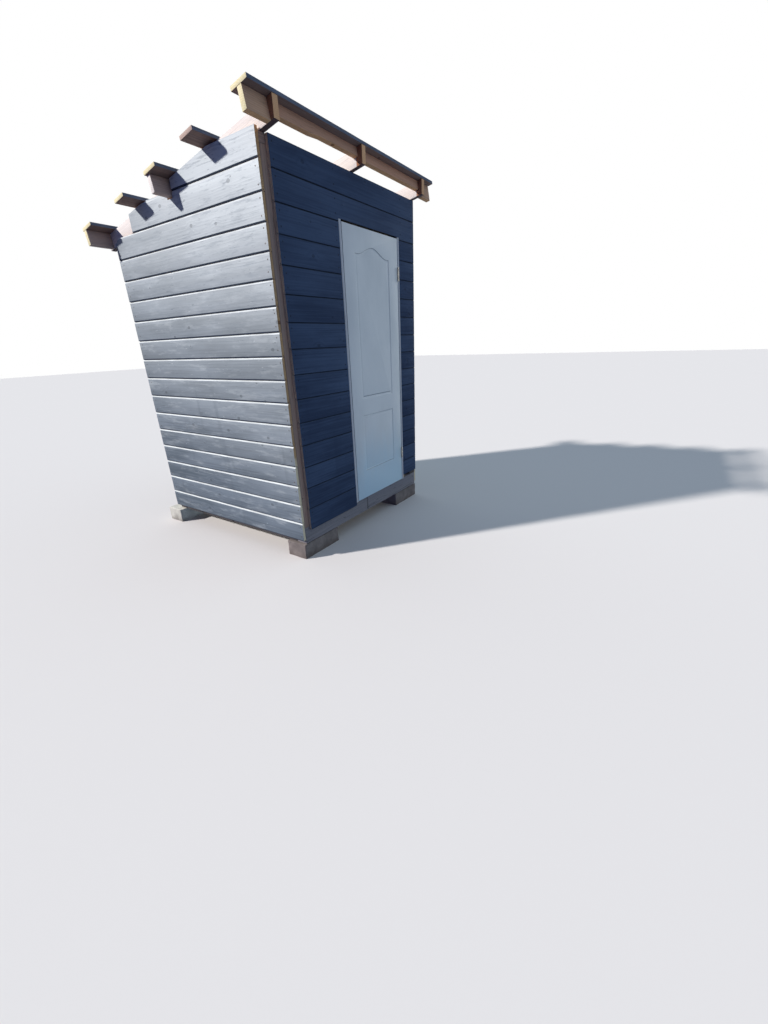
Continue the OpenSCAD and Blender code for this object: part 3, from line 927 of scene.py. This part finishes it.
def makeRafters():
    depth = roof["rafterDepth"]
    boardLow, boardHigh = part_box("edge_boards_front")
    innerBoardAt = (boardLow.y + boardHigh.y) / 2
    for seed, node in enumerate(("rafter_left", "rafter_middle", "rafter_right")):
        low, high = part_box(node)
        length = (high.y - low.y) / math.cos(roofFall) + roof["spare"]
        topMiddle = Vector(((low.x + high.x) / 2, (low.y + high.y) / 2,
                            high.z - math.tan(roofFall) * (high.y - low.y) / 2))
        middle = topMiddle - offRoof * depth / 2
        rafter = slopedTimber(node.replace("rafter_", "rafter") + "Timber", middle,
                              (high.x - low.x, length, depth), "y", 80 + seed,
                              (rafterPine, warmEnd, underPaintedShade, rafterSidePaintedShade))
        slicePiece(rafter, (0, low.y, 0), -alongY, dropOuter=True)
        slicePiece(rafter, (0, high.y, 0), alongY, dropOuter=True)
        slicePiece(rafter, (0, innerBoardAt, 0), alongY)
        cutWith(rafter, copyNode("plate_front", "notch"))
        cutWith(rafter, copyNode("plate_back", "notch"))
        markGrain(rafter, downRoof, alongX, 80 + seed)
        paintEnds(rafter, downRoof)
        # Painted shade: warm and darker on the sides in front of the inner board, and darker underneath
        paintFaces(rafter, 3, lambda face: abs(face.normal.x) > 0.7 and face.center.y < innerBoardAt)
        paintFaces(rafter, 2, lambda face: face.normal.dot(offRoof) < -0.7)
        finishPiece(rafter, [node])


def makeBattens():
    names = ("front", "second", "middle", "fourth", "back")
    for seed, place in enumerate(names):
        node = "batten_" + place
        low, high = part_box(node)
        thick = roof["battenThick"]
        width = ((high.y - low.y) - thick * math.sin(roofFall)) / math.cos(roofFall)
        end = pinkEnd if place == "second" else freshEnd
        batten = slopedTimber(place + "Batten", (low + high) / 2, (high.x - low.x, width, thick), "x",
                              90 + seed, (roofPine, end, battenEdge), edge=roof["battenEdge"])
        paintFaces(batten, 2, lambda face: face.normal.dot(downRoof) < -0.8)   # darker slate-blue on its front edge
        finishPiece(batten, [node])


def makeEdgeBoards():
    # Short ends outside the rafters, and blocking between them
    rafters = [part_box(node) for node in ("rafter_left", "rafter_middle", "rafter_right")]
    for row, place in enumerate(("front", "middle", "back")):
        node = "edge_boards_" + place
        low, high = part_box(node)
        spans = [(low.x, rafters[0][0].x), (rafters[0][1].x, rafters[1][0].x),
                 (rafters[1][1].x, rafters[2][0].x), (rafters[2][1].x, high.x)]
        tallest = roof["frontStubHeight"] if place == "front" else roof["stubHeight"]
        boards = []
        for i, (x0, x1) in enumerate(spans):
            inner = i in (1, 2)
            wood = greyPine
            tall = tallest
            if place == "front":
                # Painted light: the front stubs and inner boards take paler, warmer copies of the pine
                wood = innerPinePaintedLight if inner else stubPinePaintedLight
                tall = roof["frontInnerHeight"] if inner else tallest
            middle = (low + high) / 2 + offRoof * (tallest - tall) / 2
            middle.x = (x0 + x1) / 2
            end = rafterPine if place == "middle" else freshEnd
            board = slopedTimber("edgeBoard", middle, (x1 - x0, roof["edgeThick"], tall), "x",
                                 100 + row * 10 + i, (wood, end, warmEnd))
            if place == "front":
                paintFaces(board, 2, lambda face: face.normal.dot(offRoof) < -0.7)
            if place == "front" and i == 1:
                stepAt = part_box("wall_left")[0].x + roof["stepPlace"]
                pick(board, "point", lambda point: (point - middle).dot(offRoof) < 0 and point.x > stepAt)
                bpy.ops.transform.translate(value=offRoof * roof["stepDepth"])
                closeEdit()
            boards.append(board)
        finishPiece(joinPieces(place + "EdgeBoards", boards), [node])


def makeRoof():
    makeRafters()
    makeBattens()
    makeEdgeBoards()
    print("roof frame done")


# Door leaf: a white leaf with two moulded panels on each face, the upper one with a waved head
leaf = {
    "edge": 0.0012,
    "stile": 0.13,
    "bottomRail": 0.235,
    "lowerPanel": 0.46,
    "lockRail": 0.13,
    "topRail": 0.165,
    "rise": 0.055,          # of the wave over its shoulders
    "shoulder": 0.03,
    "waveSteps": 24,
    "startDepth": 0.0006,   # sharp step round each moulding
    "moulding": ((0.0034, -0.0026), (0.0034, -0.0008), (0.005, -0.0004), (0.0044, 0.0004),
                 (0.004, 0.0016), (0.0032, 0.0006)),   # width and depth of each step
    "dimDepth": (0.0002, 0.0034),   # how deep the greyer white lies, on slopes that face the panel's middle
    "dimSlope": 0.012,
}


def panelOutline(low, high, wave):
    # A standing sheet the shape of one panel, its head raised into a wave where asked for
    clearSelection()
    bpy.ops.mesh.primitive_plane_add(size=1, location=(low + high) / 2, rotation=(math.pi / 2, 0, 0))
    sheet = bpy.context.object
    sheet.scale = (high.x - low.x, high.z - low.z, 1)
    setPlace()
    if wave:
        left, right = low.x + leaf["shoulder"], high.x - leaf["shoulder"]
        for i in range(leaf["waveSteps"] + 1):
            slicePiece(sheet, (left + (right - left) * i / leaf["waveSteps"], 0, 0), alongX)
        for vertex in sheet.data.vertices:
            along = (vertex.co.x - (left + right) / 2) / ((right - left) / 2)
            if vertex.co.z > high.z - tiny and abs(along) < 1:
                vertex.co.z += leaf["rise"] * (1 + math.cos(math.pi * along)) / 2
        editAll(sheet)
        bpy.ops.mesh.dissolve_faces()
        closeEdit()
    return sheet


def makeDoorLeaf():
    low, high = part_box("door_leaf")
    door = addBlock("doorLeaf", low, high)
    softenEdges(door, leaf["edge"])
    upperLow = leaf["bottomRail"] + leaf["lowerPanel"] + leaf["lockRail"]
    panels = ((leaf["bottomRail"], leaf["bottomRail"] + leaf["lowerPanel"], False),
              (upperLow, high.z - low.z - leaf["topRail"], True))
    depth = leaf["startDepth"]
    for y, inward in ((low.y, 1), (high.y, -1)):
        for bottom, top, wave in panels:
            sheet = panelOutline(Vector((low.x + leaf["stile"], y, low.z + bottom)),
                                 Vector((high.x - leaf["stile"], y, low.z + top)), wave)
            applyModifier(sheet, "SOLIDIFY", thickness=depth * 2, offset=0)
            cutWith(door, sheet)
        pick(door, "face", lambda centre, normal: abs(centre.y - (y + inward * depth)) < depth / 2
             and normal.y * inward < -0.9)
        for width, step in leaf["moulding"]:
            bpy.ops.mesh.inset(thickness=width, depth=step)
        closeEdit()
    for material in (leafWhite, leafDimmedAndShaded):
        door.data.materials.append(material)
    middles = [low.z + (bottom + top) / 2 for bottom, top, wave in panels]
    shallow, deep = leaf["dimDepth"]
    for face in door.data.polygons:   # greyer white in the level mouldings and on the arch, painted shade on the leaf's edges
        place, normal = face.center, face.normal
        ownMiddle = min(middles, key=lambda level: abs(level - place.z))
        depthHere = min(place.y - low.y, high.y - place.y)
        dimmedHere = shallow < depthHere < deep and normal.z * (ownMiddle - place.z) > leaf["dimSlope"]
        face.material_index = 1 if dimmedHere or abs(normal.x) > 0.9 else 0
    finishPiece(door, ["door_leaf"], body="door")
    print("door leaf done")


# Butt hinges: three knuckles on a pin, the middle one on the leaf
hinges = {
    "height": 0.1,
    "radius": 0.006,
    "gap": 0.0005,          # between knuckles
    "plateThick": 0.0015,
    "knuckleEdge": 0.0004,
    "plateEdge": 0.0003,
    "pinHead": ((0.0014, 0), (0.0006, -0.0008)),   # width and depth of each step on a knuckle's end
}


def makeKnuckle(place, bottom, top):
    clearSelection()
    bpy.ops.mesh.primitive_cylinder_add(vertices=24, radius=hinges["radius"], depth=top - bottom,
                                        location=(place.x, place.y, (bottom + top) / 2))
    knuckle = bpy.context.object
    setPlace()
    pick(knuckle, "face", lambda centre, normal: abs(normal.z) > 0.9)
    for width, step in hinges["pinHead"]:
        bpy.ops.mesh.inset(thickness=width, depth=step)
    closeEdit()
    softenEdges(knuckle, hinges["knuckleEdge"])
    return knuckle


def makePlate(x, width, pin, back, bottom, top):
    plate = addBlock("plate", (x, pin.y, bottom), (x + width, back, top))
    softenEdges(plate, hinges["plateEdge"])
    return plate


def makeHinges():
    low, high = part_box("hinges_on_jamb")
    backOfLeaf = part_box("hinges_on_leaf")[1].y
    leafSide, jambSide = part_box("door_leaf")[1].x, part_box("jamb_right")[0].x
    gap, thick = hinges["gap"], hinges["plateThick"]
    third = (hinges["height"] - 2 * gap) / 3
    pin = Vector(((leafSide + jambSide) / 2, low.y + hinges["radius"], 0))
    onJamb, onLeaf = [], []
    for bottom in (low.z, high.z - hinges["height"]):
        lower, upper = bottom + third + gap, bottom + 2 * third + gap
        for z0, z1 in ((bottom, bottom + third), (upper + gap, bottom + hinges["height"])):
            onJamb.append(makeKnuckle(pin, z0, z1))
            onJamb.append(makePlate(jambSide - thick, thick, pin, high.y, z0, z1))
        onLeaf.append(makeKnuckle(pin, lower, upper))
        onLeaf.append(makePlate(leafSide, thick, pin, backOfLeaf, lower, upper))
    finishPiece(joinPieces("jambHinges", onJamb), ["hinges_on_jamb"], hingeSteel)
    finishPiece(joinPieces("leafHinges", onLeaf), ["hinges_on_leaf"], hingeSteel, "door")
    print("hinges done")


makeConcreteBlocks()
makeFloor()
makeFraming()
makeCladding()
makeScrews()
makeRoof()
makeDoorLeaf()
makeHinges()


# Studio: a plain pale floor, a soft lamp from the left and behind, and an even pale surround
studio = {
    "floorSize": 80.0,
    "floorColour": (230, 222, 216),
    "lampStrength": 4.4,
    "lampSpread": 3.0,                     # degrees, softens the shadows
    "lampTravels": (0.139, -0.12, -0.107), # the way the light goes
    "frontFill": (0.42, 0.545, 0.667, 1),  # what comes from the front and the right
    "sideFill": (0.01, 0.02, 0.13, 1),     # the little that comes from the lamp's side
    "turnOver": (0.2, -0.8),               # from where to where, along X, the one gives way to the other
    "belowLess": 0.4,                      # how much less comes from below
}


def makeStudio():
    clearSelection()
    bpy.ops.mesh.primitive_plane_add(size=studio["floorSize"], location=(0, 0, 0))
    ground = bpy.context.object
    ground.name = "studioFloor"
    material, tree, shader = startMaterial("studioFloor")
    fillSockets(tree, shader, {"Base Color": colour(*studio["floorColour"]), "Roughness": 0.95,
                               "Specular IOR Level": 0.0})
    ground.data.materials.append(material)
    ground.visible_diffuse = False   # a pale floor would light the undersides like a mirror
    clearSelection()
    bpy.ops.object.light_add(type="SUN", location=(-4, 4, 5))
    lamp = bpy.context.object
    lamp.data.energy = studio["lampStrength"]
    lamp.data.angle = math.radians(studio["lampSpread"])
    lamp.rotation_euler = Vector(studio["lampTravels"]).to_track_quat("-Z", "Y").to_euler()
    world = bpy.data.worlds.new("paleSurround")
    world.use_nodes = True
    bpy.context.scene.world = world
    tree = world.node_tree
    path = addNode(tree, "LightPath")
    seen = calc(tree, "MAXIMUM", path.outputs["Is Camera Ray"], path.outputs["Is Glossy Ray"])
    seen = calc(tree, "MAXIMUM", seen, path.outputs["Is Transmission Ray"])
    towards = addNode(tree, "TexCoord").outputs["Generated"]
    way = addNode(tree, "SeparateXYZ", {0: towards})
    sideways = fade(tree, way.outputs[0], *studio["turnOver"])
    fill = mixColour(tree, sideways, studio["frontFill"], studio["sideFill"])
    strength = minus(tree, 1.0, fade(tree, way.outputs[2], 0, -1, 0, studio["belowLess"]))
    fillLight = addNode(tree, "Background", {"Color": fill, "Strength": strength})
    white = addNode(tree, "Background", {"Color": (1, 1, 1, 1), "Strength": 1.0})
    both = addNode(tree, "MixShader", {0: seen, 1: fillLight.outputs[0], 2: white.outputs[0]})
    tree.links.new(both.outputs[0], tree.nodes["World Output"].inputs["Surface"])


# Camera: solved from the photo's own board joints, wall edges and door outline
view = {
    "place": (-2.771, -2.8965, 1.496),
    "turn": (67.816, 2.128, -56.404),
    "lens": 14.637,
}


def makeCamera():
    clearSelection()
    bpy.ops.object.camera_add(location=view["place"],
                              rotation=[math.radians(value) for value in view["turn"]])
    camera = bpy.context.object
    camera.data.lens = view["lens"]
    camera.data.sensor_width = 36.0
    camera.data.clip_end = 200.0
    bpy.context.scene.camera = camera


makeStudio()
makeCamera()
bpy.context.scene.view_settings.view_transform = "Standard"
print("studio and camera done")
